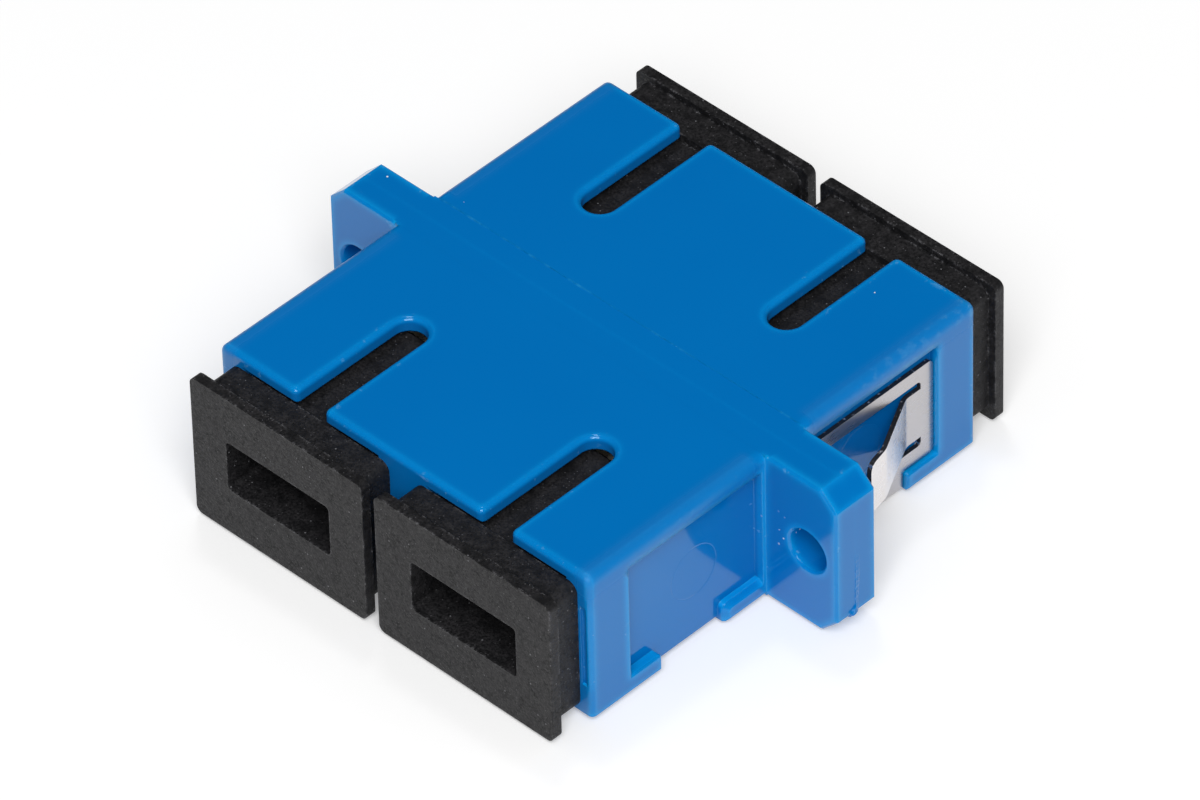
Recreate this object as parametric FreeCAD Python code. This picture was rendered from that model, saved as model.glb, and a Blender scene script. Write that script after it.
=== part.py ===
import FreeCAD, Part
import math
import os

# Duplex SC fibre-optic adapter with a screw flange, a spring clip and four dust caps.
# X runs along the row of ports, Y along the fibres (front ports at -Y), Z is up with the
# key slots on top. The origin is under the middle of the part, on its lowest face.
# All sizes are in millimetres.

# Ports and key slots
port_pitch = 12.7          # between the two fibre channels
port_width = 9.2
port_height = 7.7
port_lead_in = 0.12
slot_width = 1.9
slot_end = 5.8             # weld plane to the round end of the slot
slot_mouth_round = 0.35

# Housing around the ports
side_wall = 1.65
roof_wall = 0.75
half_depth = 13.65         # weld plane to the end face, in each half
side_round = 0.45          # long upper edges of the nose
edge_round = 0.28          # edges around its end face and around the slots
bottom_bevel = 0.15        # lower edges of the nose
end_groove_from = 0.3      # side of the nose to the groove in its end face
end_groove_width = 0.35
end_groove_height = 5.1
end_groove_depth = 0.15

# Flange
flange_half = 1.4          # each half of the housing carries half of the flange
flange_corner = 1.05       # bevel on the four corners
flange_inset = 0.04        # top of the flange, below the top of the nose
flange_drop = 0.08         # bottom of the flange, below the bottom of the nose
flange_bevel = 0.12        # around its outer face
screw_spacing = 30.7
screw_hole = 2.4
screw_hole_bevel = 0.12
screw_edge = 1.95          # screw's axis to the end of the flange

# Recess that takes the clip, on both sides of each half
recess_depth = 0.57
recess_near = 1.62         # weld plane to the end beside the flange
recess_end_wall = 2.7      # recess to the end face
recess_top = 1.0           # below the top of the body
rib_height = 1.05          # of the two ribs that keep the strap in its place
near_rib = 2.68            # length of the rib beside the flange
near_rib_corner = 0.38
near_rib_bevel = 0.28      # outer edges of this rib
far_rib = 2.2              # length of the rib beside the port
far_rib_corner = 0.22
far_rib_bevel = 0.1
strap_edge_bevel = 0.2

# Spring clip, one folded sheet
clip_sheet = 0.25
clip_gap = 0.02            # between the sheet and the housing
clip_bend = 0.3            # inside radius at the foot of each leg
clip_top_gap = 1.0         # to the top of the recess
clip_corner = 0.35
clip_end_gap = 0.06        # to each end of the recess
clip_rib_gap = 0.06        # above the ribs
clip_bar = 0.9             # bar that closes the frame beside the flange
clip_upper_strip = 0.88    # of the frame, above the tongue
clip_lower_strip = 0.99
strap_side_gap = 0.06
tongue_slit = 0.52
slit_corner = 0.25
tongue_root = 0.95         # end of the recess to the ends of the slits
tongue_crease = 2.0        # end of the recess to the first bend
tongue_rise = 1.77         # outwards, first bend to second
tongue_lip_rise = 0.32
tongue_lip_run = 1.4
tongue_bend = 0.9
tongue_corner = 0.5
panel_space = 2.82         # flange to the tip of the tongue

# Split alignment sleeve
sleeve_bore = 1.249
sleeve_radius = 1.6
sleeve_length = 11.4
sleeve_slit = 0.5
sleeve_gap = 0.05          # around the sleeve
sleeve_end_gap = 0.05

# Inner holder, two to a channel, with two latch arms and half of the sleeve tube
holder_gap = 0.1           # around its flange, in the pocket in the housing
holder_flange_lap = 0.4    # flange beyond each side of the port
holder_flange = 1.2        # thickness
tube_wall = 0.65
tube_lip = 1.25            # stops the end of the sleeve
ferrule_gap = 0.2          # mouth of the tube, around the bore of the sleeve
ferrule_bevel = 0.5
arm_inside = 2.75          # channel axis to the arm's inner face
arm_thickness = 0.7
arm_height = 3.2
arm_end = 9.0              # weld plane to the tip
hook_length = 1.0
hook_reach = 0.55
hook_slope = 0.6           # part of the hook that leads in

# Dust cap
cap_drop = 0.2             # a cap sits this much below the channel axis
cap_gap = 0.85             # between the plates of two neighbours
cap_overhang = 0.6         # plate above and below the port
cap_plate = 0.6            # thickness
cap_plate_corner = 0.4
cap_side_rim = 0.475       # plate beyond the collar
cap_top_rim = 0.4
collar_length = 1.8
collar_corner = 0.6
plug_side_gap = 0.15       # plug to the port's side walls
plug_top_gap = 0.25        # plug to the roof and the floor, before it drops
plug_length = 8.1
plug_corner = 0.35         # bevel along its four edges
plug_nose = 0.3
plug_wall = 0.75
window_width = 7.1
window_height = 3.15
window_corner = 0.25
window_depth = 2.85
cap_web = 0.8              # wall between the window and the hollow behind it

# Working allowances for the model
past = 1.0                 # cutters run this far past a face
same = 1e-4                # two places closer than this are one
across = FreeCAD.Vector(1, 0, 0)
along = FreeCAD.Vector(0, 1, 0)
up = FreeCAD.Vector(0, 0, 1)

# Sizes and places that follow from the ones above
body_width = port_pitch + port_width + 2 * side_wall
body_height = port_height + 2 * roof_wall
body_bottom = clip_sheet + clip_gap
body_top = body_bottom + body_height
channel_z = body_bottom + body_height / 2
channel_x = (-port_pitch / 2, port_pitch / 2)
recess_floor = body_width / 2 - recess_depth
recess_far = half_depth - recess_end_wall
strap_gap_near = recess_near + near_rib
strap_gap_far = recess_far - far_rib
clip_inside = recess_floor + clip_gap
clip_outside = clip_inside + clip_sheet
clip_low = body_bottom + rib_height + clip_rib_gap
clip_high = body_top - recess_top - clip_top_gap
tongue_low = clip_low + clip_lower_strip + tongue_slit
tongue_high = clip_high - clip_upper_strip - tongue_slit
holder_flange_width = port_width + 2 * holder_flange_lap
sleeve_seat = sleeve_radius + sleeve_gap
tube_end = sleeve_length / 2 + sleeve_end_gap + tube_lip
ferrule_entry = sleeve_bore + ferrule_gap
cap_z = channel_z - cap_drop
cap_plate_width = port_pitch - cap_gap
cap_plate_height = port_height + 2 * cap_overhang
plug_width = port_width - 2 * plug_side_gap
plug_height = port_height - 2 * plug_top_gap


def block(x0, x1, y0, y1, z0, z1):
    """Box between two corners."""
    return Part.makeBox(x1 - x0, y1 - y0, z1 - z0, FreeCAD.Vector(x0, y0, z0))


def rounded_outline(width, height, radius, x, y, z):
    """Closed wire in an XZ plane: a rectangle about (x, z) with round corners."""
    half_w = width / 2
    half_h = height / 2
    edges = []
    for quarter in range(4):
        sign_x = (1, -1, -1, 1)[quarter]
        sign_z = (1, 1, -1, -1)[quarter]
        centre = FreeCAD.Vector(x + sign_x * (half_w - radius), y, z + sign_z * (half_h - radius))
        start = math.radians(90 * quarter)
        ends = []
        for angle in (start, start + math.pi / 4, start + math.pi / 2):
            ends.append(centre + FreeCAD.Vector(radius * math.cos(angle), 0, radius * math.sin(angle)))
        if edges:
            edges.append(Part.LineSegment(edges[-1].EndPoint, ends[0]))
        edges.append(Part.Arc(ends[0], ends[1], ends[2]))
    edges.append(Part.LineSegment(edges[-1].EndPoint, edges[0].StartPoint))
    return Part.Wire([edge.toShape() for edge in edges])


def rounded_bar(width, height, radius, x, z, y0, y1):
    """Bar along Y with a round-cornered section about (x, z)."""
    face = Part.Face(rounded_outline(width, height, radius, x, y0, z))
    return face.extrude(FreeCAD.Vector(0, y1 - y0, 0))


def polygon_prism(points, direction):
    """Prism over a closed outline of corner points."""
    corners = [FreeCAD.Vector(*point) for point in points]
    return Part.Face(Part.makePolygon(corners + corners[:1])).extrude(FreeCAD.Vector(*direction))


def rod_y(radius, x, z, y0, y1):
    """Cylinder along Y."""
    return Part.makeCylinder(radius, y1 - y0, FreeCAD.Vector(x, y0, z), along)


def turned_back(shape):
    """The same piece turned half a turn about Z, for the rear of the part."""
    copy = shape.copy()
    copy.rotate(FreeCAD.Vector(0, 0, 0), up, 180)
    return copy


def other_side(shape):
    """Mirror image across the YZ plane."""
    return shape.mirror(FreeCAD.Vector(0, 0, 0), across)


def near(value, target):
    """True where two sizes or places are one."""
    return abs(value - target) < same


def middle_of(edge):
    """Point half way along an edge."""
    return edge.valueAt((edge.FirstParameter + edge.LastParameter) / 2)


def edges_at(shape, test):
    """Edges whose ends and middle all pass the test."""
    found = []
    for edge in shape.Edges:
        points = [vertex.Point for vertex in edge.Vertexes] + [middle_of(edge)]
        if all(test(point) for point in points):
            found.append(edge)
    return found


def edges_along(shape, direction):
    """Straight edges that run along a direction."""
    found = []
    for edge in shape.Edges:
        run = edge.valueAt(edge.LastParameter) - edge.valueAt(edge.FirstParameter)
        if near(abs(run.dot(direction)), edge.Length):
            found.append(edge)
    return found


def key_slot(x):
    """Cutter for one key slot: open at the end face, with a full round inner end."""
    radius = slot_width / 2
    straight_end = -(slot_end + radius)
    cutter = block(
        x - radius, x + radius, -half_depth - past, straight_end, channel_z, body_top + past)
    round_end = Part.makeCylinder(
        radius, body_top + past - channel_z, FreeCAD.Vector(x, straight_end, channel_z))
    return cutter.fuse(round_end).removeSplitter()


def nose():
    """Rectangular nose of the front half, with its key slots, rounded above and bevelled below."""
    half_width = body_width / 2
    shape = block(-half_width, half_width, -half_depth, -flange_half, body_bottom, body_top)
    shape = shape.makeFillet(
        side_round, edges_at(shape, lambda p: near(abs(p.x), half_width) and near(p.z, body_top)))
    for x in channel_x:
        shape = shape.cut(key_slot(x))
    mouths = [edge for edge in edges_along(shape, up)
              if near(middle_of(edge).y, -half_depth) and not near(abs(middle_of(edge).x), half_width)]
    shape = shape.makeFillet(slot_mouth_round, mouths)
    flat_top = half_width - side_round
    rims = [edge for edge in shape.Edges
            if near(middle_of(edge).z, body_top) and not near(abs(middle_of(edge).x), flat_top)
            and not near(middle_of(edge).y, -flange_half)]
    corners = edges_at(shape, lambda p: near(abs(p.x), half_width) and near(p.y, -half_depth))
    shape = shape.makeFillet(edge_round, rims + corners)
    lower = [edge for edge in shape.Edges
             if near(middle_of(edge).z, body_bottom) and not near(middle_of(edge).y, -flange_half)]
    return shape.makeChamfer(bottom_bevel, lower)


def flange():
    """Half of the flange, from its outer face to the weld plane, with bevelled corners."""
    half_width = screw_spacing / 2 + screw_edge
    low = body_bottom - flange_drop
    high = body_top - flange_inset
    inner = half_width - flange_corner
    outline = (
        (inner, -flange_half, low), (half_width, -flange_half, low + flange_corner),
        (half_width, -flange_half, high - flange_corner), (inner, -flange_half, high),
        (-inner, -flange_half, high), (-half_width, -flange_half, high - flange_corner),
        (-half_width, -flange_half, low + flange_corner), (-inner, -flange_half, low),
    )
    plate = polygon_prism(outline, (0, flange_half, 0))
    plate = plate.makeChamfer(flange_bevel, edges_at(plate, lambda p: near(p.y, -flange_half)))
    core = block(-body_width / 2, body_width / 2, -flange_half, -flange_half / 2, low, high)
    return plate.fuse(core)


def screw_hole_cutter(x):
    """Hole for one flange screw, with a light bevel at the outer face."""
    radius = screw_hole / 2
    hole = rod_y(radius, x, channel_z, -flange_half - past, past)
    bevel = Part.makeCone(
        radius + screw_hole_bevel, radius, screw_hole_bevel,
        FreeCAD.Vector(x, -flange_half, channel_z), along)
    return hole.fuse(bevel)


def side_recess():
    """Cutter for the recess on the +X side, with the way for the strap between its two ribs."""
    x0 = recess_floor
    rib_top = body_bottom + rib_height
    high = body_top - recess_top
    below = body_bottom - past
    outline = (
        (x0, -recess_near, rib_top), (x0, -recess_near, high),
        (x0, -recess_far, high), (x0, -recess_far, rib_top),
        (x0, -strap_gap_far, rib_top), (x0, -strap_gap_far, below),
        (x0, -strap_gap_near, below), (x0, -strap_gap_near, rib_top),
    )
    pocket = polygon_prism(outline, (recess_depth + past, 0, 0))
    for y, radius in ((-strap_gap_near, near_rib_corner), (-strap_gap_far, far_rib_corner)):
        pocket = pocket.makeFillet(
            radius, edges_at(pocket, lambda p: near(p.y, y) and near(p.z, rib_top)))
    bevel = polygon_prism(
        ((x0 - strap_edge_bevel, -strap_gap_far, body_bottom),
         (x0 + past, -strap_gap_far, body_bottom + strap_edge_bevel + past),
         (x0 + past, -strap_gap_far, body_bottom)),
        (0, strap_gap_far - strap_gap_near, 0))
    return pocket.fuse(bevel)


def bevelled_ribs(shape):
    """The housing with the outer edges of its ribs bevelled, over the top and down the open end."""
    rib_top = body_bottom + rib_height
    tops = edges_at(shape, lambda p: near(abs(p.x), body_width / 2) and near(p.z, rib_top))
    near_tops = [edge for edge in tops if -middle_of(edge).y < strap_gap_near]
    far_tops = [edge for edge in tops if -middle_of(edge).y > strap_gap_far]
    shape = shape.makeChamfer(near_rib_bevel, near_tops)
    return shape.makeChamfer(far_rib_bevel, far_tops)


def end_groove():
    """Cutter for the fine upright groove beside the port, at the +X edge of the end face."""
    x1 = body_width / 2 - end_groove_from
    half_height = end_groove_height / 2
    return block(
        x1 - end_groove_width, x1, -half_depth - past, -half_depth + end_groove_depth,
        channel_z - half_height, channel_z + half_height)


def port_cutter(x):
    """Cutter for one port, with its lead-in and the pocket that traps the inner holders."""
    half_width = port_width / 2
    half_height = port_height / 2
    passage = block(
        x - half_width, x + half_width, -half_depth - past, past,
        channel_z - half_height, channel_z + half_height)
    lead_in = Part.makeWedge(
        x - half_width - port_lead_in, -half_depth, channel_z - half_height - port_lead_in,
        channel_z - half_height, x - half_width,
        x + half_width + port_lead_in, -half_depth + port_lead_in,
        channel_z + half_height + port_lead_in,
        channel_z + half_height, x + half_width)
    half_width = holder_flange_width / 2 + holder_gap
    pocket = block(
        x - half_width, x + half_width, -holder_flange, past,
        channel_z - half_height, channel_z + half_height)
    return passage.fuse(lead_in).fuse(pocket)


def housing_front():
    """Front half of the housing. The rear half is the same moulding, turned round."""
    shape = nose().fuse(flange())
    for cutter in (side_recess(), end_groove()):
        shape = shape.cut(cutter)
        shape = shape.cut(other_side(cutter))
    shape = bevelled_ribs(shape)
    for x in channel_x:
        shape = shape.cut(port_cutter(x))
    for x in (-screw_spacing / 2, screw_spacing / 2):
        shape = shape.cut(screw_hole_cutter(x))
    return shape.removeSplitter()


def clip_strap():
    """U-shaped strap: two legs and the part under the housing, with round bends."""
    high = clip_low + clip_lower_strip / 2
    y0 = strap_gap_near + strap_side_gap
    y1 = strap_gap_far - strap_side_gap
    height = high + body_height
    outer = rounded_bar(
        2 * clip_outside, height, clip_bend + clip_sheet, 0, height / 2, y0, y1)
    inner = rounded_bar(
        2 * clip_inside, height, clip_bend, 0, clip_sheet + height / 2, y0, y1)
    above = block(
        -clip_outside - past, clip_outside + past, y0 - past, y1 + past, high, height + past)
    return outer.cut(inner).cut(above)


def clip_frame():
    """Flat side plate of the clip, with the window that frees the tongue."""
    y0 = recess_near + clip_end_gap
    y1 = recess_far - clip_end_gap
    plate = block(clip_inside, clip_outside, y0, y1, clip_low, clip_high)
    plate = plate.makeFillet(clip_corner, edges_along(plate, across))
    window = block(
        clip_inside - past, clip_outside + past, y0 + clip_bar, recess_far - tongue_root,
        tongue_low - tongue_slit, tongue_high + tongue_slit)
    window = window.makeFillet(slit_corner, edges_along(window, across))
    return plate.cut(window)


def clip_tongue():
    """Spring tongue: flat at its root, bent outwards, then bent back near its free end."""
    crease = recess_far - tongue_crease
    tip = flange_half + panel_space
    path = (
        (clip_outside, recess_far - tongue_root + clip_corner),
        (clip_outside, crease),
        (clip_outside + tongue_rise, tip + tongue_lip_run),
        (clip_outside + tongue_rise + tongue_lip_rise, tip),
    )
    normals = []
    for start, end in zip(path, path[1:]):
        length = math.hypot(end[0] - start[0], end[1] - start[1])
        normals.append(((end[1] - start[1]) / length, -(end[0] - start[0]) / length))
    backs = []
    for index, point in enumerate(path):
        before = normals[max(index - 1, 0)]
        after = normals[min(index, len(normals) - 1)]
        scale = clip_sheet / (1 + before[0] * after[0] + before[1] * after[1])
        backs.append((point[0] + scale * (before[0] + after[0]),
                      point[1] + scale * (before[1] + after[1])))
    outline = [(x, y, tongue_low) for x, y in path + tuple(reversed(backs))]
    strip = polygon_prism(outline, (0, 0, tongue_high - tongue_low))

    bends = (
        (path[1], tongue_bend), (backs[1], tongue_bend + clip_sheet),
        (path[2], tongue_bend + clip_sheet), (backs[2], tongue_bend),
    )
    for (x, y), radius in bends:
        strip = strip.makeFillet(radius, edges_at(strip, lambda p: near(p.x, x) and near(p.y, y)))
    corners = [edge for edge in strip.Edges
               if near(edge.Length, clip_sheet) and middle_of(edge).y < tip + clip_sheet]
    return strip.makeFillet(tongue_corner, corners)


def spring_clip():
    """Clip of the rear half: a folded strap with a framed tongue on each side."""
    side = clip_frame().fuse(clip_tongue())
    shape = clip_strap().fuse(side).fuse(other_side(side))
    return shape.removeSplitter()


def latch_arm(x):
    """One latch arm on the +X side of a channel at x, with its hook turned inwards."""
    inside = x + arm_inside
    outside = inside + arm_thickness
    hook_start = arm_end - hook_length
    outline = (
        (inside, -holder_flange / 2), (inside, -hook_start),
        (inside - hook_reach, -hook_start), (inside - hook_reach, -arm_end + hook_slope),
        (inside, -arm_end), (outside, -arm_end), (outside, -holder_flange / 2),
    )
    points = [(px, py, channel_z - arm_height / 2) for px, py in outline]
    return polygon_prism(points, (0, 0, arm_height))


def latch_holder(x):
    """Front holder of one channel: flange, half of the sleeve tube and two latch arms."""
    half_width = holder_flange_width / 2
    half_height = port_height / 2 - holder_gap
    shape = block(
        x - half_width, x + half_width, -holder_flange, 0,
        channel_z - half_height, channel_z + half_height)
    shape = shape.fuse(rod_y(sleeve_seat + tube_wall, x, channel_z, -tube_end, -holder_flange / 2))
    arm = latch_arm(0)
    shape = shape.fuse(arm.translated(FreeCAD.Vector(x, 0, 0)))
    shape = shape.fuse(other_side(arm).translated(FreeCAD.Vector(x, 0, 0)))
    shape = shape.cut(rod_y(sleeve_seat, x, channel_z, tube_lip - tube_end, past))
    shape = shape.cut(rod_y(ferrule_entry, x, channel_z, -tube_end - past, past))
    entry = Part.makeCone(
        ferrule_entry + ferrule_bevel, ferrule_entry, ferrule_bevel,
        FreeCAD.Vector(x, -tube_end, channel_z), along)
    return shape.cut(entry).removeSplitter()


def split_sleeve(x):
    """Alignment sleeve: a thin tube slit along its whole length."""
    half = sleeve_length / 2
    shape = rod_y(sleeve_radius, x, channel_z, -half, half)
    shape = shape.cut(rod_y(sleeve_bore, x, channel_z, -half - past, half + past))
    slit = block(
        x - sleeve_slit / 2, x + sleeve_slit / 2, -half - past, half + past,
        channel_z, channel_z + sleeve_radius + past)
    return shape.cut(slit)


def dust_cap(x):
    """Front dust cap: plate with a finger window, collar against the housing, hollow plug."""
    face = -half_depth - collar_length
    outer_face = face - cap_plate
    plate = rounded_bar(
        cap_plate_width, cap_plate_height, cap_plate_corner, x, cap_z, outer_face, face)
    collar = rounded_bar(
        cap_plate_width - 2 * cap_side_rim, cap_plate_height - 2 * cap_top_rim, collar_corner,
        x, cap_z, face, -half_depth)
    nose_end = -half_depth + plug_length
    plug = block(
        x - plug_width / 2, x + plug_width / 2, -half_depth, nose_end,
        cap_z - plug_height / 2, cap_z + plug_height / 2)
    plug = plug.makeChamfer(plug_corner, edges_along(plug, along))
    plug = plug.makeChamfer(plug_nose, edges_at(plug, lambda p: near(p.y, nose_end)))
    shape = plate.fuse(collar).fuse(plug)
    window = rounded_bar(
        window_width, window_height, window_corner, x, cap_z,
        outer_face - past, outer_face + window_depth)
    half_width = plug_width / 2 - plug_wall
    half_height = plug_height / 2 - plug_wall
    hollow = block(
        x - half_width, x + half_width, outer_face + window_depth + cap_web, nose_end + past,
        cap_z - half_height, cap_z + half_height)
    return shape.cut(window).cut(hollow).removeSplitter()


def build():
    """Every node of the part, by name."""
    left, right = channel_x
    front = housing_front()
    nodes = {
        "housing_front": front,
        "housing_rear": turned_back(front),
        "spring_clip": spring_clip(),
    }
    for side, x in (("left", left), ("right", right)):
        nodes["latch_holder_front_" + side] = latch_holder(x)
        nodes["latch_holder_rear_" + side] = turned_back(latch_holder(-x))
        nodes["alignment_sleeve_" + side] = split_sleeve(x)
        nodes["dust_cap_front_" + side] = dust_cap(x)
        nodes["dust_cap_rear_" + side] = turned_back(dust_cap(-x))
    return nodes


os.makedirs("parts", exist_ok=True)
for name, solid in build().items():
    if len(solid.Solids) != 1 or not solid.isValid():
        raise RuntimeError(name + " is not one valid solid")
    solid.Solids[0].exportStep("parts/" + name + ".step")
    print(name, round(solid.Volume, 2))
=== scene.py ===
import math

import bpy
import numpy as np
from mathutils import Matrix, Vector


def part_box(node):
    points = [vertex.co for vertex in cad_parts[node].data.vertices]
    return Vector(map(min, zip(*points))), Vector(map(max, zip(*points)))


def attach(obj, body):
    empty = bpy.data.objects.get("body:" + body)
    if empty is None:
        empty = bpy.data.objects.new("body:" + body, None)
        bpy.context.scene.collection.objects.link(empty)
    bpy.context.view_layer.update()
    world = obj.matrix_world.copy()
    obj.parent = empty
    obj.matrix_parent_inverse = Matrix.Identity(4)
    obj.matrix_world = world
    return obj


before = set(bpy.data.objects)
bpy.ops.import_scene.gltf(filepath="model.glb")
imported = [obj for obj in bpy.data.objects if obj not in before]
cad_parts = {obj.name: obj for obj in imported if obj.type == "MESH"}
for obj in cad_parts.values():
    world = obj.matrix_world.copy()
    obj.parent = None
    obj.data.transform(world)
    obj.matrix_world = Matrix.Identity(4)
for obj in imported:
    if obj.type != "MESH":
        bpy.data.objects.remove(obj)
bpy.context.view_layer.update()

# ---------------------------------------------------------------- camera
# A long lens looks down over the front right corner, so that the key slots, the front
# caps, one screw ear and the clip behind it all show.
MM = 0.001
azimuth = math.radians(45.065)
elevation = math.radians(42.05)
roll = math.radians(-1.546)
lens = 352.67
distance = 579.381 * MM
aim = Vector((0, 0, 4.97 * MM))
aim_right = 0.0185 * MM
aim_up = 0.4107 * MM
sensor = 36
nearest = 0.01

back = Vector((math.sin(azimuth) * math.cos(elevation),
               -math.cos(azimuth) * math.cos(elevation), math.sin(elevation)))
right = Vector((math.cos(azimuth), math.sin(azimuth), 0))
up = back.cross(right)
across = right * math.cos(roll) + up * math.sin(roll)
upward = up * math.cos(roll) - right * math.sin(roll)
eye = aim + back * distance + across * aim_right - upward * aim_up

camera_data = bpy.data.cameras.new("camera")
camera_data.sensor_width = sensor
camera_data.lens = lens
camera_data.clip_start = nearest
camera = bpy.data.objects.new("camera", camera_data)
camera.matrix_world = Matrix((
    (across.x, upward.x, back.x, eye.x),
    (across.y, upward.y, back.y, eye.y),
    (across.z, upward.z, back.z, eye.z),
    (0, 0, 0, 1)))
bpy.context.scene.collection.objects.link(camera)
bpy.context.scene.camera = camera
bpy.context.scene.view_settings.view_transform = "Standard"


# ---------------------------------------------------------------- floor and light
# A white sheet runs under the part. A pale tent and a wide panel over the front corner light
# it evenly, and a small lamp overhead gives the glints. The tent is dim to reflections, as a
# dark room is, so that only the sheet and the lamps mirror in the gloss.
def add(tree, kind, settings=None, **inputs):
    """New shader node. A socket given as an input is linked, and anything else is its value."""
    node = tree.nodes.new("ShaderNode" + kind)
    for name, value in (settings or {}).items():
        setattr(node, name, value)
    for name, value in inputs.items():
        key = int(name[1:]) if name[0] == "i" and name[1:].isdigit() else name.replace("_", " ")
        if isinstance(value, bpy.types.NodeSocket):
            tree.links.new(value, node.inputs[key])
        else:
            node.inputs[key].default_value = value
    return node


sheet_size = 1.2
sheet_gap = 0.02 * MM              # below the part, so that no two faces share a plane
sheet_white = (0.86, 0.86, 0.86, 1)
sheet_lift = 0.26                  # own light of the sheet, for the camera and the gloss
tent_light = 0.42
tent_to_gloss = 0.0

bpy.ops.mesh.primitive_plane_add(size=sheet_size, location=(0, 0, -sheet_gap))
floor = bpy.context.object
floor.name = "floor"
floor_material = bpy.data.materials.new("white_sheet")
floor_material.use_nodes = True
tree = floor_material.node_tree
tree.nodes.clear()
paths = add(tree, "LightPath")
seen = add(tree, "Math", {"operation": "MAXIMUM"},
           i0=paths.outputs["Is Camera Ray"], i1=paths.outputs["Is Glossy Ray"])
lift = add(tree, "Math", {"operation": "MULTIPLY"}, i0=seen.outputs[0], i1=sheet_lift)
glow = add(tree, "Emission", Strength=lift.outputs[0])
matt = add(tree, "BsdfDiffuse", Color=sheet_white)
both = add(tree, "AddShader", i0=matt.outputs[0], i1=glow.outputs[0])
add(tree, "OutputMaterial", Surface=both.outputs[0])
floor.data.materials.append(floor_material)

world = bpy.data.worlds.new("tent")
world.use_nodes = True
bpy.context.scene.world = world
tree = world.node_tree
tree.nodes.clear()
paths = add(tree, "LightPath")
diffuse_part = add(tree, "Mix", {"data_type": "FLOAT"}, i0=paths.outputs["Is Glossy Ray"],
                   i2=tent_light, i3=tent_to_gloss)
strength = add(tree, "Mix", {"data_type": "FLOAT"}, i0=paths.outputs["Is Camera Ray"],
               i2=diffuse_part.outputs[0], i3=1.0)
tent = add(tree, "Background", Strength=strength.outputs[0])
add(tree, "OutputWorld", Surface=tent.outputs[0])
world.cycles.sampling_method = "NONE"


def hang_lamp(name, size, place, level):
    """Square area lamp aimed at the part. It adds level times full white to what faces it."""
    data = bpy.data.lights.new(name, "AREA")
    data.size = size
    data.energy = level * (math.pi * place.length) ** 2
    lamp = bpy.data.objects.new(name, data)
    lamp.location = place
    lamp.rotation_euler = (-place).to_track_quat("-Z", "Y").to_euler()
    lamp.visible_camera = False
    bpy.context.scene.collection.objects.link(lamp)


hang_lamp("front_panel", size=0.3, place=Vector((0.26, -0.26, 0.42)), level=0.74)
hang_lamp("overhead_lamp", size=0.06, place=Vector((-0.12, 0.1, 0.5)), level=0.07)


# ---------------------------------------------------------------- housing
# Two identical blue mouldings, glossy from a polished tool and welded back to back. Near the
# edges the blue is painted paler, painted light for the light that enters thin plastic.
def new_group(name, inputs, outputs):
    """Empty shader node group with float inputs and the outputs given as (name, type)."""
    group = bpy.data.node_groups.new(name, "ShaderNodeTree")
    for label, value in inputs:
        socket = group.interface.new_socket(
            name=label, in_out="INPUT", socket_type="NodeSocketFloat")
        socket.default_value = value
    for label, kind in outputs:
        group.interface.new_socket(name=label, in_out="OUTPUT", socket_type=kind)
    return group, group.nodes.new("NodeGroupInput"), group.nodes.new("NodeGroupOutput")


def math_of(tree, operation, a, b=0.0):
    """Output of one Math node."""
    return add(tree, "Math", {"operation": operation}, i0=a, i1=b).outputs[0]


def times(tree, a, b):
    """Product of two values."""
    return math_of(tree, "MULTIPLY", a, b)


def plus(tree, a, b):
    """Sum of two values."""
    return math_of(tree, "ADD", a, b)


def minus(tree, a, b):
    """First value less the second."""
    return math_of(tree, "SUBTRACT", a, b)


def larger(tree, a, b):
    """Larger of two values."""
    return math_of(tree, "MAXIMUM", a, b)


def from_zero(tree, a):
    """How far a value is from zero, on either side."""
    return math_of(tree, "ABSOLUTE", a)


def ramp(tree, value, low, high):
    """Value mapped to 0 at low and 1 at high, with soft ends."""
    node = add(tree, "MapRange", {"interpolation_type": "SMOOTHSTEP"},
               Value=value, From_Min=low, From_Max=high)
    return node.outputs["Result"]


def spread(tree, value, low, high):
    """Value from 0 to 1 mapped to the span from low to high, in a straight line."""
    return add(tree, "MapRange", Value=value, To_Min=low, To_Max=high).outputs["Result"]


def cloudy(tree, place, scale, detail=2.0, harsh=0.5):
    """Noise from 0 to 1, this many lumps to the metre. Harsh is the weight of its detail."""
    return add(tree, "TexNoise", Vector=place, Scale=scale, Detail=detail,
               Roughness=harsh).outputs["Fac"]


def mix_color(tree, factor, a, b):
    """Colour a where factor is 0 and b where it is 1."""
    node = add(tree, "Mix", {"data_type": "RGBA"}, i0=factor, i6=a, i7=b)
    return node.outputs[2]


def kept_along(tree, normal, keep):
    """The normal with its Y part scaled by keep, made one long again."""
    parts = add(tree, "SeparateXYZ", Vector=normal).outputs
    scaled = add(tree, "CombineXYZ",
                 X=parts["X"], Y=times(tree, parts["Y"], keep), Z=parts["Z"])
    return add(tree, "VectorMath", {"operation": "NORMALIZE"}, i0=scaled.outputs[0]).outputs[0]


# Edges: a small rounding for the shading normal, and a mask of what lies near an edge. Keep
# is 0 on a joint that runs flush across Y, a little more on one that is almost flush, and 1
# elsewhere.
edge_group, given, result = new_group(
    "soft_edges", [("Round", 0.05 * MM), ("Reach", 0.4 * MM), ("Keep", 1.0)],
    [("Normal", "NodeSocketVector"), ("Edge", "NodeSocketFloat")])
bevel_rays = {"samples": 6}
fine = add(edge_group, "Bevel", bevel_rays, Radius=given.outputs["Round"]).outputs[0]
wide = add(edge_group, "Bevel", bevel_rays, Radius=given.outputs["Reach"]).outputs[0]
facing = add(edge_group, "NewGeometry")
turn = add(edge_group, "VectorMath", {"operation": "DOT_PRODUCT"},
           i0=kept_along(edge_group, wide, given.outputs["Keep"]), i1=facing.outputs["Normal"])
edge = minus(edge_group, 1.0, turn.outputs["Value"])
rounded = kept_along(edge_group, fine, given.outputs["Keep"])
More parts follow.
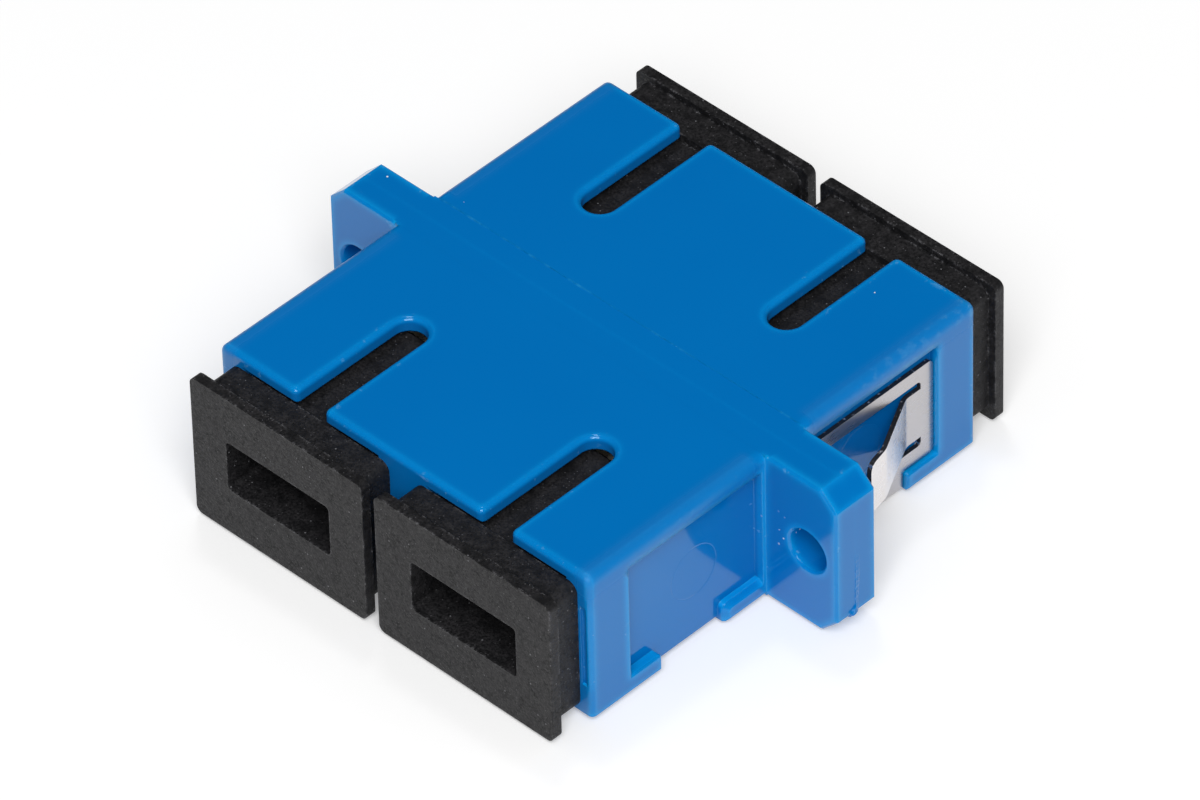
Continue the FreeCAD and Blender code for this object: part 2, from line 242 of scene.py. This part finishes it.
edge_group.links.new(rounded, result.inputs["Normal"])
edge_group.links.new(edge, result.inputs["Edge"])

# Dust: sparse round specks, thicker in some places than in others.
patch_scale = 0.23                 # patches to each speck's cell
dust_group, given, result = new_group(
    "dust_specks", [("Spacing", 1.0 * MM), ("Size", 0.12), ("Amount", 0.5)],
    [("Specks", "NodeSocketFloat")])
place = add(dust_group, "TexCoord").outputs["Object"]
per_metre = math_of(dust_group, "DIVIDE", 1.0, given.outputs["Spacing"])
cells = add(dust_group, "TexVoronoi", Vector=place, Scale=per_metre)
speck = math_of(dust_group, "LESS_THAN", cells.outputs["Distance"], given.outputs["Size"])
patches = add(dust_group, "TexNoise", Vector=place,
              Scale=times(dust_group, per_metre, patch_scale)).outputs["Fac"]
chosen = add(dust_group, "SeparateColor", Color=cells.outputs["Color"]).outputs[0]
level = times(dust_group, given.outputs["Amount"], patches)
kept = math_of(dust_group, "LESS_THAN", chosen, level)
dust_group.links.new(times(dust_group, speck, kept), result.inputs["Specks"])


def finish_of(name):
    """New material with nodes. Returns it, its tree, its shader and the object coordinates."""
    material = bpy.data.materials.new(name)
    material.use_nodes = True
    tree = material.node_tree
    shader = tree.nodes["Principled BSDF"]
    return material, tree, shader, add(tree, "TexCoord").outputs["Object"]


def use(tree, group, **inputs):
    """One of the shared effects, placed in a material."""
    node = tree.nodes.new("ShaderNodeGroup")
    node.node_tree = group
    for name, value in inputs.items():
        if isinstance(value, bpy.types.NodeSocket):
            tree.links.new(value, node.inputs[name])
        else:
            node.inputs[name].default_value = value
    return node.outputs


def emboss(tree, shader, height, depth, normal=None):
    """Relief of this depth from a height between about 0 and 1, laid over a normal."""
    node = add(tree, "Bump", Height=height, Distance=depth)
    if normal is not None:
        tree.links.new(normal, node.inputs["Normal"])
    tree.links.new(node.outputs[0], shader.inputs["Normal"])


def dress(material, *names):
    """Puts one material on each named CAD node."""
    for name in names:
        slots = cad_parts[name].data.materials
        slots.clear()
        slots.append(material)


blue_deep = (0.0004, 0.16, 0.51, 1)
# pale blue: painted edge light, painted light on the flange step, and the paler blue of the
# clouds
blue_pale_and_edge_light = (0.002, 0.33, 0.78, 1)
scuff_blue = (0.16, 0.48, 0.78, 1)
# pale blue of the painted highlight along the rear of the flange
line_highlight_blue = (0.04, 0.46, 0.88, 1)
dust_white = (0.75, 0.82, 0.9, 1)
gloss_tint = (0.7, 0.94, 1, 1)
plastic_ior = 1.5
housing_low, housing_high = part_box("housing_front")
top = housing_high.z
ear_half = housing_high.x
nose_half = 12.6 * MM
flange_half = 1.4 * MM
channel_height = 4.87 * MM
recess_floor = 12.03 * MM          # from the middle plane
floor_reach = 0.02 * MM
edge_round = 0.1 * MM
worn_round = 0.55 * MM             # added to it along the upper edges of the nose
glow_reach = 0.9 * MM              # how near an edge the painted edge light and the scuffs reach
almost_flush = 0.07                # share of the step from flange to nose that shades
mark_centre = (5.9 * MM, channel_height - 0.4 * MM)
mark_radius = 1.55 * MM
mark_line = 0.05 * MM
dusty_spot = (13.6 * MM, -flange_half, channel_height + 0.2 * MM)
dusty_reach = 1.5 * MM
rubbed_spot = (12.2 * MM, 10.5 * MM, 9.2 * MM)
rubbed_reach = 6.5 * MM
rubbed_more = 0.14                 # how much it adds to the patches there
line_width = 0.08 * MM             # each side of the broken line
step_width = 0.02 * MM
dash_scale = (2600.0, 300.0, 1500.0)

blue, tree, shader, place = finish_of("blue_moulding")
axes = add(tree, "SeparateXYZ", Vector=place).outputs

# the weld leaves no groove, and the flange runs into the top of the nose almost flush
from_middle = from_zero(tree, axes["X"])
from_weld = from_zero(tree, axes["Y"])
below_top = ramp(tree, axes["Z"], top - 0.12 * MM, top - 0.3 * MM)
on_ear = ramp(tree, from_middle, nose_half + 0.1 * MM, nose_half + 0.3 * MM)
off_weld = ramp(tree, from_weld, 0.3 * MM, 0.8 * MM)
off_flange = ramp(tree, from_weld, flange_half + 0.4 * MM, flange_half + 0.6 * MM)
shown = larger(tree, almost_flush, larger(tree, below_top, on_ear))
clear = larger(tree, off_flange, times(tree, off_weld, shown))

# the long upper edges of the nose are worn rounder than the rest
upper = ramp(tree, axes["Z"], top - 1.7 * MM, top - 1.1 * MM)
outer = ramp(tree, from_middle, nose_half - 1.3 * MM, nose_half - 0.7 * MM)
past_flange = ramp(tree, from_weld, flange_half + 0.3 * MM, flange_half + 0.8 * MM)
long_edge = times(tree, times(tree, upper, outer), past_flange)
rounding = plus(tree, edge_round, times(tree, long_edge, worn_round))
edges = use(tree, edge_group, Round=rounding, Reach=glow_reach, Keep=clear)
near_edge = ramp(tree, edges["Edge"], 0.0, 0.14)

# painted light: near an edge the blue is painted paler where the lamps reach, on the tops
# and the outer sides, and hardly in the slots
faces = add(tree, "SeparateXYZ", Vector=add(tree, "TexCoord").outputs["Normal"]).outputs
outside = ramp(tree, from_middle, nose_half - 0.5 * MM, nose_half - 0.2 * MM)
lit = larger(tree, outside, ramp(tree, faces["Z"], 0.1, 0.8))
glow = times(tree, near_edge, times(tree, lit, 0.95))
broad = cloudy(tree, place, scale=90.0)
shade = mix_color(tree, times(tree, broad, 0.12), blue_deep, blue_pale_and_edge_light)
shade = mix_color(tree, glow, shade, blue_pale_and_edge_light)

# rubbed, pale patches along the edges, most of them by the rear right corner
patches = cloudy(tree, place, scale=1900.0)
to_rubbed = add(tree, "VectorMath", {"operation": "DISTANCE"}, i0=place, i1=rubbed_spot)
by_corner = ramp(tree, to_rubbed.outputs["Value"], rubbed_reach, 0.4 * rubbed_reach)
on_top = ramp(tree, axes["Z"], top - 1.2 * MM, top - 0.6 * MM)
rubbed = times(tree, times(tree, on_top, by_corner), rubbed_more)
scuffs = times(tree, near_edge, ramp(tree, plus(tree, patches, rubbed), 0.66, 0.74))
shade = mix_color(tree, times(tree, scuffs, 0.7), shade, scuff_blue)

# a broken pale line down the rear of the flange, a painted highlight with a little relief,
# and the low step that it follows
off_line = from_zero(tree, minus(tree, axes["Y"], flange_half))
at_top = minus(tree, 1.0, below_top)
highlight_line = times(tree, ramp(tree, off_line, line_width, 0.01 * MM), at_top)
dashes_place = add(tree, "Mapping", Vector=place, Scale=dash_scale).outputs[0]
dashes = ramp(tree, cloudy(tree, dashes_place, scale=1.0, detail=3.0), 0.42, 0.68)
stretches = ramp(tree, cloudy(tree, place, scale=170.0), 0.3, 0.6)
highlight_line = times(tree, highlight_line, times(tree, stretches, dashes))
# painted light: the low step is painted paler, against the shade it gets from facing away
step_painted_light = times(tree, ramp(tree, off_line, step_width, 0.005 * MM), at_top)
shade = mix_color(tree, times(tree, step_painted_light, 0.42), shade, blue_pale_and_edge_light)
shade = mix_color(tree, times(tree, highlight_line, 0.45), shade, line_highlight_blue)
scuffs = larger(tree, scuffs, times(tree, highlight_line, 0.4))

# dust: a few specks all over, and a cluster beside the front right screw hole
thin_dust = use(tree, dust_group, Spacing=1.4 * MM, Size=0.045, Amount=0.22)["Specks"]
thick_dust = use(tree, dust_group, Spacing=0.32 * MM, Size=0.2, Amount=0.75)["Specks"]
to_dusty = add(tree, "VectorMath", {"operation": "DISTANCE"}, i0=place, i1=dusty_spot)
by_hole = ramp(tree, to_dusty.outputs["Value"], dusty_reach, 0.3 * dusty_reach)
specks = larger(tree, thin_dust, times(tree, thick_dust, by_hole))
shade = mix_color(tree, specks, shade, dust_white)
tree.links.new(shade, shader.inputs["Base Color"])

# the ejector's round mark on the floor of each side recess
off_floor = from_zero(tree, minus(tree, from_middle, recess_floor))
on_floor = math_of(tree, "LESS_THAN", off_floor, floor_reach)
along = minus(tree, from_weld, mark_centre[0])
above = minus(tree, axes["Z"], mark_centre[1])
to_mark = add(tree, "CombineXYZ", X=along, Y=above).outputs[0]
from_mark = add(tree, "VectorMath", {"operation": "LENGTH"}, i0=to_mark).outputs["Value"]
off_ring = from_zero(tree, minus(tree, from_mark, mark_radius))
ring = times(tree, on_floor, ramp(tree, off_ring, mark_line, 0.0))

# relief: fine grain and slow waves from the tool, the ring, the dust and the scuffs
grain = cloudy(tree, place, scale=2600.0, detail=3.0)
waves = cloudy(tree, place, scale=320.0, detail=1.0)
height = plus(tree, times(tree, grain, 0.12), times(tree, waves, 0.5))
height = minus(tree, height, times(tree, ring, 1.6))
height = plus(tree, height, times(tree, specks, 3.0))
height = plus(tree, height, times(tree, scuffs, 0.8))
emboss(tree, shader, height, depth=0.006 * MM, normal=edges["Normal"])
gloss = spread(tree, grain, low=0.05, high=0.11)
rough = plus(tree, times(tree, specks, 0.5), times(tree, scuffs, 0.2))
rough = plus(tree, rough, times(tree, near_edge, 0.1))
rough = plus(tree, rough, times(tree, long_edge, 0.22))
tree.links.new(plus(tree, gloss, rough), shader.inputs["Roughness"])
shader.inputs["IOR"].default_value = plastic_ior
shader.inputs["Specular Tint"].default_value = gloss_tint
dress(blue, "housing_front", "housing_rear")


# ---------------------------------------------------------------- weld flash
# Where the two halves were welded, a little plastic was squeezed out of the seam. It shows
# as a lumpy lip on the end of each ear.
def new_mesh(name, grid):
    """Mesh object from a grid of points (rows, columns, 3), joined row to row."""
    rows, columns = grid.shape[:2]
    index = np.arange(rows * columns).reshape(rows, columns)
    quads = np.stack([index[:-1, :-1], index[:-1, 1:], index[1:, 1:], index[1:, :-1]], -1)
    mesh = bpy.data.meshes.new(name)
    mesh.from_pydata(grid.reshape(-1, 3).tolist(), [], quads.reshape(-1, 4).tolist())
    mesh.polygons.foreach_set("use_smooth", np.ones(len(mesh.polygons), bool))
    mesh.update()
    piece = bpy.data.objects.new(name, mesh)
    bpy.context.scene.collection.objects.link(piece)
    return piece


ear_bevel = 1.05 * MM
film_foot = 0.16 * MM              # width of the film at its foot and at its top
film_head = 0.42 * MM
film_height = 0.05 * MM
film_front = -0.08 * MM
film_top = channel_height + 0.3 * MM
film_sunk = 0.004 * MM             # into the ear, so that no light shows behind it
film_grid = (240, 33)              # points up the ear and across the film
blob_height = 0.16 * MM            # where the film gathers, at the foot of the ear
blob_reach = 0.45 * MM
blob_forward = 0.4 * MM


def weld_lip(side):
    """Film on the end of one ear. Across v, from front to rear, it rises steeply and slopes off
    over the last six tenths, and the columns close up towards both edges. Along u, upwards, its
    height is a flat-topped bell for the blob plus a film that thins with the cube of u. A sum of
    sines makes the film lumpy, a bell across v furrows it, and another sum of sines moves it
    from side to side. Its end follows the bevel at the foot of the ear."""
    rows, columns = film_grid
    u = np.linspace(0, 1, rows)[:, None]
    v = 0.5 - 0.5 * np.cos(np.pi * np.linspace(0, 1, columns)[None, :])
    low = housing_low.z + 0.6 * ear_bevel
    z = low + (film_top - low) * u
    end = ear_half - np.clip(housing_low.z + ear_bevel - z, 0, None)
    blob = np.exp(-((z - housing_low.z - 0.8 * ear_bevel) / blob_reach) ** 4)
    lump = 1 + 0.2 * np.sin(37 * u + side) + 0.25 * np.sin(83 * u)
    fold = 1 - 0.4 * np.exp(-((v - 0.4) / 0.2) ** 2)
    height = blob_height * blob + film_height * (1 - u ** 3) * lump * fold
    height = height * np.clip(u / 0.03, 0, 1)
    across_film = (np.clip(v / 0.08, 0, 1) * np.clip((1 - v) / 0.6, 0, 1)) ** 0.7
    width = film_foot + (film_head - film_foot) * u
    wander = 0.03 * np.sin(11 * u + side) + 0.03 * np.sin(41 * u) + 0.02 * np.sin(97 * u)
    x = end - film_sunk + height * across_film
    y = film_front + width * v + film_head * wander - blob_forward * blob * (0.9 - v)
    grid = np.stack(np.broadcast_arrays(side * x, y, z), -1)
    if side < 0:
        grid = grid[:, ::-1]
    return new_mesh("weld_lip_right" if side > 0 else "weld_lip_left", grid)


flash, tree, shader, place = finish_of("weld_flash")
cloud = cloudy(tree, place, scale=1500.0, detail=3.0)
shade = mix_color(tree, times(tree, cloud, 0.25), blue_deep, blue_pale_and_edge_light)
tree.links.new(shade, shader.inputs["Base Color"])
tree.links.new(spread(tree, cloud, low=0.08, high=0.2), shader.inputs["Roughness"])
emboss(tree, shader, cloud, depth=0.01 * MM)
shader.inputs["IOR"].default_value = plastic_ior
shader.inputs["Specular Tint"].default_value = gloss_tint

for side in (-1, 1):
    lip = weld_lip(side)
    lip.data.materials.append(flash)
    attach(lip, "adapter")


# ---------------------------------------------------------------- spring clip
# One strip of spring steel, blanked and folded. Rolling left fine lines along the strip and
# blanking left its cut edges rough and dull.
steel_face = (0.49, 0.475, 0.485, 1)
steel_pale = (0.8, 0.765, 0.75, 1)
steel_cut_painted_dark = (0.02, 0.02, 0.023, 1)
leg_outside = 12.3 * MM            # outer face of the legs, from the middle plane
strap_top = 1.0 * MM               # the strap under the housing lies below this
cut_facing = 0.8                   # a face turned this far along an axis is a cut edge
rolled_scale = (5000.0, 150.0, 5000.0)

steel, tree, shader, place = finish_of("rolled_steel")
edges = use(tree, edge_group, Round=0.015 * MM, Reach=0.12 * MM)
axes = add(tree, "SeparateXYZ", Vector=place).outputs
faces = add(tree, "SeparateXYZ", Vector=add(tree, "TexCoord").outputs["Normal"]).outputs
lines_place = add(tree, "Mapping", Vector=place, Scale=rolled_scale).outputs[0]
lines = cloudy(tree, lines_place, scale=1.0, detail=3.0)
smear = cloudy(tree, place, scale=420.0)
from_middle = from_zero(tree, axes["X"])
# the tongue, bent out past the legs, is coloured paler, and so are the smears and the metal near
# the edges
raised = ramp(tree, from_middle, leg_outside + 0.05 * MM, leg_outside + 0.5 * MM)
tone = mix_color(tree, raised, steel_face, steel_pale)
tone = mix_color(tree, times(tree, smear, 0.25), tone, steel_pale)

# the cut edges face along the housing, or up and down above the strap. They are coloured
# near black: dull from blanking, and painted shade for the dark that they mirror
above_strap = math_of(tree, "GREATER_THAN", axes["Z"], strap_top)
cut_ends = math_of(tree, "GREATER_THAN", from_zero(tree, faces["Y"]), cut_facing)
cut_sides = math_of(tree, "GREATER_THAN", from_zero(tree, faces["Z"]), cut_facing)
cut = larger(tree, cut_ends, times(tree, above_strap, cut_sides))
near_edge = ramp(tree, edges["Edge"], 0.1, 0.5)
tone = mix_color(tree, times(tree, near_edge, 0.4), tone, steel_pale)
torn = cloudy(tree, place, scale=5200.0, detail=3.0)
glints = ramp(tree, torn, 0.61, 0.7)
tone = mix_color(tree, cut, tone, mix_color(tree, glints, steel_cut_painted_dark, steel_pale))
tree.links.new(tone, shader.inputs["Base Color"])
gloss = plus(tree, spread(tree, lines, low=0.2, high=0.27), times(tree, smear, 0.08))
tree.links.new(plus(tree, gloss, times(tree, cut, 0.1)), shader.inputs["Roughness"])
height = plus(tree, times(tree, lines, 0.06), times(tree, smear, 2.0))
height = plus(tree, height, times(tree, times(tree, torn, cut), 12.0))
emboss(tree, shader, height, depth=0.0005 * MM, normal=edges["Normal"])
dull = times(tree, cut, minus(tree, 0.8, times(tree, glints, 0.6)))
tree.links.new(minus(tree, 1.0, dull), shader.inputs["Metallic"])
dress(steel, "spring_clip")


# ---------------------------------------------------------------- inner holders
# Two natural plastic mouldings to a channel hold the sleeve and carry the latch arms. The
# unfilled plastic is creamy, with a soft sheen.
cream = (0.62, 0.58, 0.48, 1)
cream_edge = (0.78, 0.75, 0.66, 1)

natural, tree, shader, place = finish_of("natural_moulding")
edges = use(tree, edge_group, Round=0.06 * MM, Reach=0.3 * MM)
cloud = cloudy(tree, place, scale=260.0, detail=3.0)
# painted highlight: the edges are coloured paler than the faces
tone = mix_color(tree, ramp(tree, edges["Edge"], 0.0, 0.4), cream, cream_edge)
tone = mix_color(tree, times(tree, cloud, 0.25), tone, cream_edge)
tree.links.new(tone, shader.inputs["Base Color"])
grain = cloudy(tree, place, scale=2200.0, detail=3.0)
tree.links.new(spread(tree, grain, low=0.28, high=0.42), shader.inputs["Roughness"])
emboss(tree, shader, grain, depth=0.002 * MM, normal=edges["Normal"])
dress(natural, "latch_holder_front_left", "latch_holder_front_right",
      "latch_holder_rear_left", "latch_holder_rear_right")


# ---------------------------------------------------------------- alignment sleeves
# A zirconia tube with one slit. It is ground inside and out, which leaves faint lines round
# the tube.
zirconia = (0.86, 0.85, 0.81, 1)
zirconia_shade = (0.72, 0.7, 0.66, 1)
zirconia_ior = 2.1
ground_scale = (300.0, 9000.0, 300.0)

ceramic, tree, shader, place = finish_of("ground_ceramic")
edges = use(tree, edge_group, Round=0.03 * MM, Reach=0.1 * MM)
rings_place = add(tree, "Mapping", Vector=place, Scale=ground_scale).outputs[0]
rings = cloudy(tree, rings_place, scale=1.0)
tone = mix_color(tree, times(tree, rings, 0.3), zirconia, zirconia_shade)
tree.links.new(tone, shader.inputs["Base Color"])
tree.links.new(spread(tree, rings, low=0.08, high=0.2), shader.inputs["Roughness"])
emboss(tree, shader, rings, depth=0.0006 * MM, normal=edges["Normal"])
shader.inputs["IOR"].default_value = zirconia_ior
dress(ceramic, "alignment_sleeve_left", "alignment_sleeve_right")


# ---------------------------------------------------------------- dust caps
# Four soft black mouldings push into the ports. Their skin is matt and slightly mottled, and
# it holds dust.
black = (0.0075, 0.0075, 0.0085, 1)
black_worn = (0.027, 0.026, 0.028, 1)
# pale grey: the lint specks, and the painted highlight along the edges
lint_and_edge_highlight = (0.3, 0.3, 0.32, 1)
skin_shine = 0.3

rubber, tree, shader, place = finish_of("black_cap")
edges = use(tree, edge_group, Round=0.06 * MM, Reach=0.3 * MM)
coarse_dust = use(tree, dust_group, Spacing=0.45 * MM, Size=0.1, Amount=0.45)["Specks"]
fine_dust = use(tree, dust_group, Spacing=0.2 * MM, Size=0.17, Amount=0.55)["Specks"]
specks = larger(tree, coarse_dust, times(tree, 0.45, fine_dust))
mottle = cloudy(tree, place, scale=1500.0, detail=5.0, harsh=0.7)
grain = cloudy(tree, place, scale=7500.0, detail=3.0, harsh=0.7)
near_edge = ramp(tree, edges["Edge"], 0.04, 0.3)
# painted highlight: pale marks along the edges, broken up like wear by the mottle and grain
edge_wear_and_highlight = times(tree, near_edge, ramp(tree, mottle, 0.46, 0.6))
edge_wear_and_highlight = times(tree, edge_wear_and_highlight, ramp(tree, grain, 0.4, 0.6))
worn = times(tree, ramp(tree, mottle, 0.34, 0.6), ramp(tree, grain, 0.3, 0.66))
tone = mix_color(tree, worn, black, black_worn)
tone = mix_color(tree, times(tree, edge_wear_and_highlight, 0.5), tone, lint_and_edge_highlight)
tone = mix_color(tree, times(tree, specks, 0.5), tone, lint_and_edge_highlight)
tree.links.new(tone, shader.inputs["Base Color"])
gloss = add(tree, "MapRange", Value=grain, From_Min=0.35, From_Max=0.65,
            To_Min=0.36, To_Max=0.75).outputs["Result"]
tree.links.new(gloss, shader.inputs["Roughness"])
height = plus(tree, times(tree, grain, 0.8), mottle)
height = plus(tree, height, times(tree, specks, 0.6))
emboss(tree, shader, height, depth=0.035 * MM, normal=edges["Normal"])
shader.inputs["Specular IOR Level"].default_value = skin_shine
dress(rubber, "dust_cap_front_left", "dust_cap_front_right",
      "dust_cap_rear_left", "dust_cap_rear_right")
